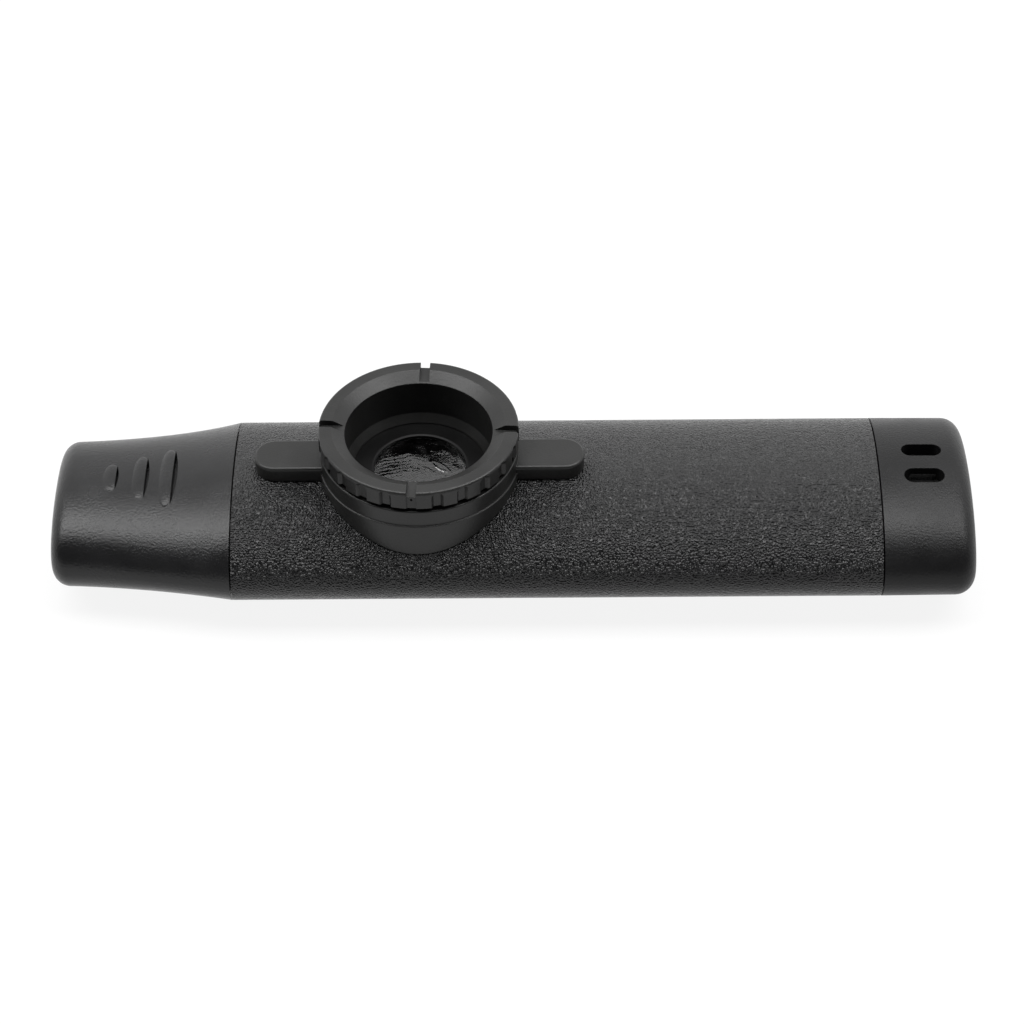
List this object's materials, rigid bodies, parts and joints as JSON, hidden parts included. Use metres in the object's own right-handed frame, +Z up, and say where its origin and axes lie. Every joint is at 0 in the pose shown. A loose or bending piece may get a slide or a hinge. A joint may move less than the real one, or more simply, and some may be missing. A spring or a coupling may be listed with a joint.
{
  "type": "kazoo",
  "caption": "Oval metal-bodied membrane kazoo with tapered mouthpiece, open tail cap and a screw-capped turret holding a thin vibrating film.",
  "frame": {"origin": "on the surface the kazoo lies on, below the middle of its length", "axes": "+X from the mouthpiece to the tail along the tube, +Z up through the turret, +Y to the player's left"},
  "size_m": [0.12, 0.0304, 0.0222],
  "materials": {
    "tube_coat": "coarse textured powder coat, charcoal black, over aluminium",
    "end_plastic": "satin moulded black plastic",
    "turret_plastic": "satin moulded black plastic with a fine texture",
    "frame_plastic": "dark grey matte plastic",
    "film": "thin clear crinkled plastic film",
    "seal_rubber": "matte black silicone rubber"
  },
  "bodies": {
    "body": {"body_tube": "tube_coat", "mouthpiece": "end_plastic", "tail_cap": "end_plastic", "turret_base": "turret_plastic", "base_gasket": "seal_rubber", "film_gasket": "seal_rubber", "mouthpiece_seal": "seal_rubber", "tail_seal": "seal_rubber"},
    "cartridge": {"film_frame": "frame_plastic", "resonator_film": "film", "film_backing_ring": "frame_plastic"},
    "ring": {"clamp_ring": "turret_plastic"}
  },
  "joints": [
    {"name": "cartridge_lift", "type": "slide", "parent": "body", "child": "cartridge", "axis": [0, 0, 1], "range_m": [0, 0.004]},
    {"name": "ring_screw", "type": "hinge", "parent": "cartridge", "child": "ring", "pos_m": [-0.01195, 0, 0.018], "axis": [0, 0, 1], "range_deg": [0, 720]}
  ],
  "couplings": [
    {"joint": "ring_screw", "follows": "cartridge_lift", "rad_per_m": 3141.6}
  ]
}
